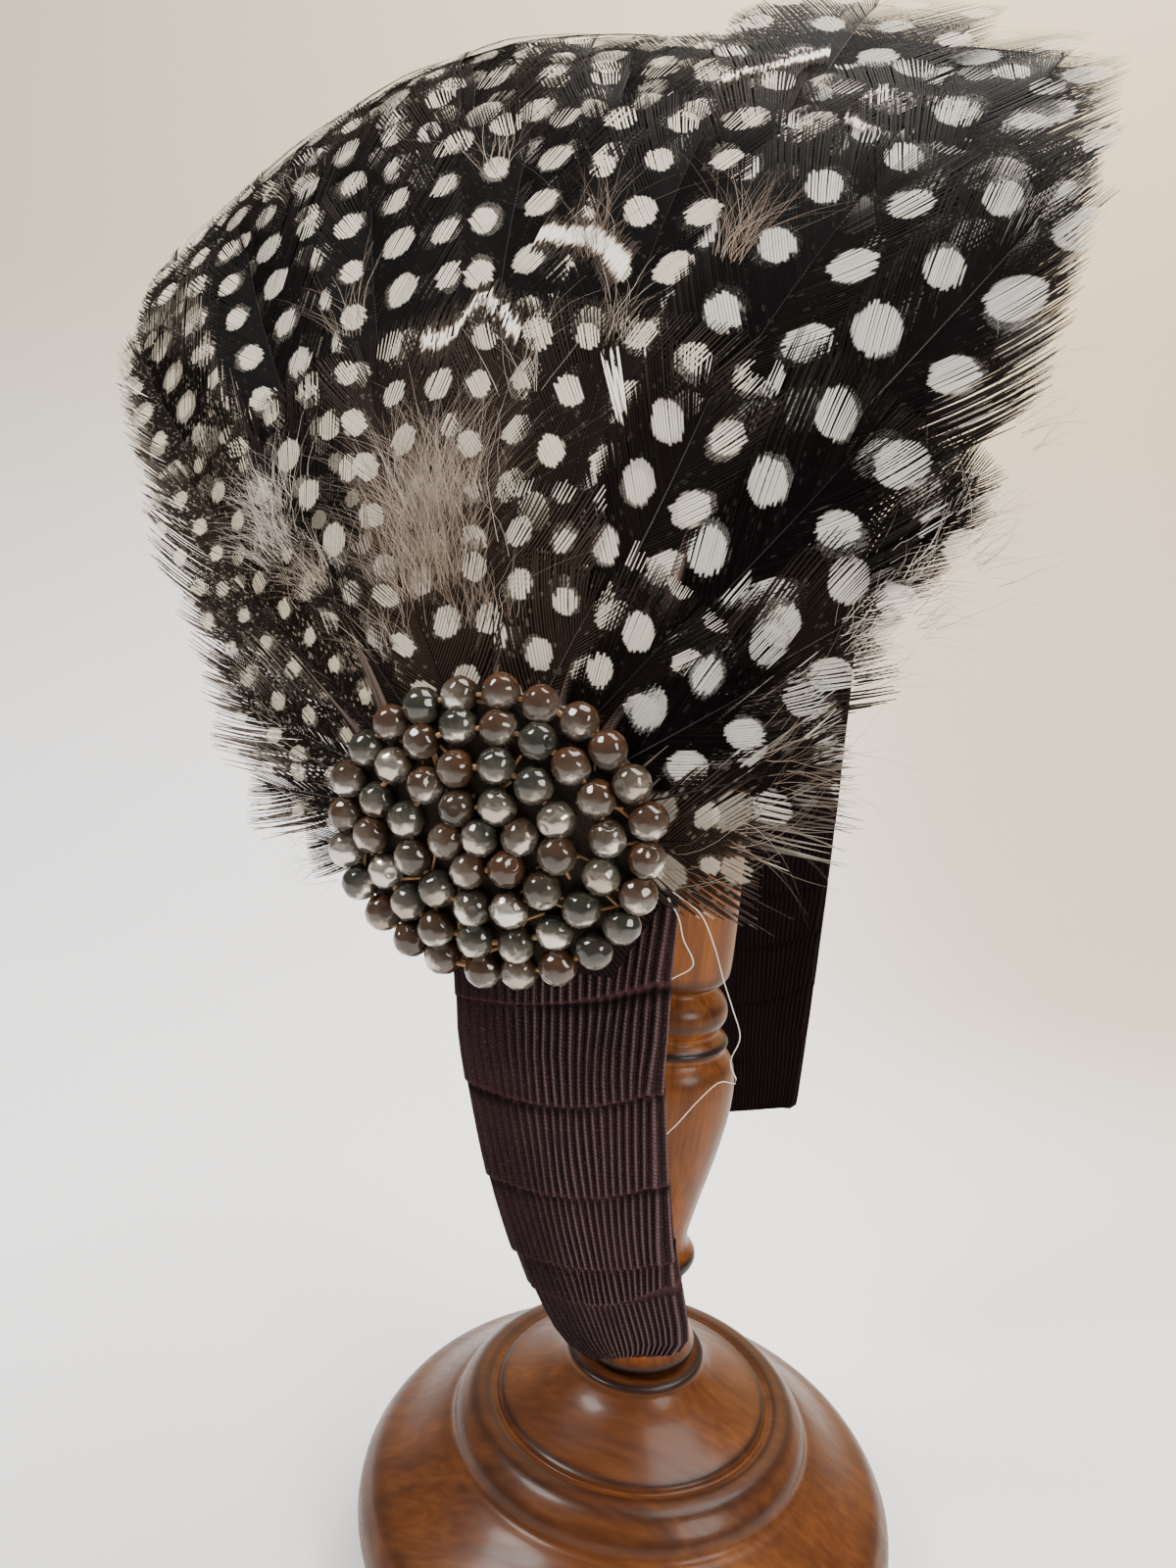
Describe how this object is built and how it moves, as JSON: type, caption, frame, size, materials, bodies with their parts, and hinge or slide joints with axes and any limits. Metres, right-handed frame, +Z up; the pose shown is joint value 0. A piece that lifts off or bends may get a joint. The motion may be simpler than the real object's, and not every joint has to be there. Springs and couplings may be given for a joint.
{
  "type": "feather headband on stand",
  "caption": "Narrow half hat covered in spotted guinea fowl feathers that fan out from a bead cluster, ends wrapped in ribbon, resting on a turned wooden display stand.",
  "frame": {"origin": "middle of the stand's flat underside", "axes": "+Z up the stand's axis, +Y from the beaded end of the headband to its plain end, +X across the band"},
  "size_m": [0.1272, 0.136, 0.2331],
  "materials": {
    "plumage": "soft barbed feather vanes, near black with rows of white spots and beige down at their bases",
    "bead": "faceted glass, half coated with silvery metal",
    "ribbon": "matt ribbed grosgrain, dark aubergine brown",
    "lining": "matt stiffened cloth",
    "walnut": "glossy varnish over reddish brown wood"
  },
  "bodies": {
    "root": {"band": "lining", "bead_cluster": "bead", "cap_shell": "lining", "feather_01": "plumage", "feather_02": "plumage", "feather_03": "plumage", "feather_04": "plumage", "feather_05": "plumage", "feather_06": "plumage", "feather_07": "plumage", "feather_08": "plumage", "feather_09": "plumage", "feather_10": "plumage", "feather_11": "plumage", "feather_12": "plumage", "feather_13": "plumage", "feather_14": "plumage", "feather_15": "plumage", "feather_16": "plumage", "feather_17": "plumage", "feather_18": "plumage", "feather_19": "plumage", "feather_20": "plumage", "feather_21": "plumage", "feather_22": "plumage", "feather_23": "plumage", "feather_24": "plumage", "feather_25": "plumage", "feather_26": "plumage", "feather_27": "plumage", "feather_28": "plumage", "feather_29": "plumage", "feather_30": "plumage", "feather_31": "plumage", "feather_32": "plumage", "feather_33": "plumage", "feather_34": "plumage", "feather_35": "plumage", "feather_36": "plumage", "feather_37": "plumage", "feather_38": "plumage", "feather_39": "plumage", "feather_40": "plumage", "feather_41": "plumage", "feather_42": "plumage", "leg_far": "ribbon", "leg_near": "ribbon", "stand_cap": "walnut", "stand_foot": "walnut", "stand_post": "walnut"}
  },
  "joints": []
}
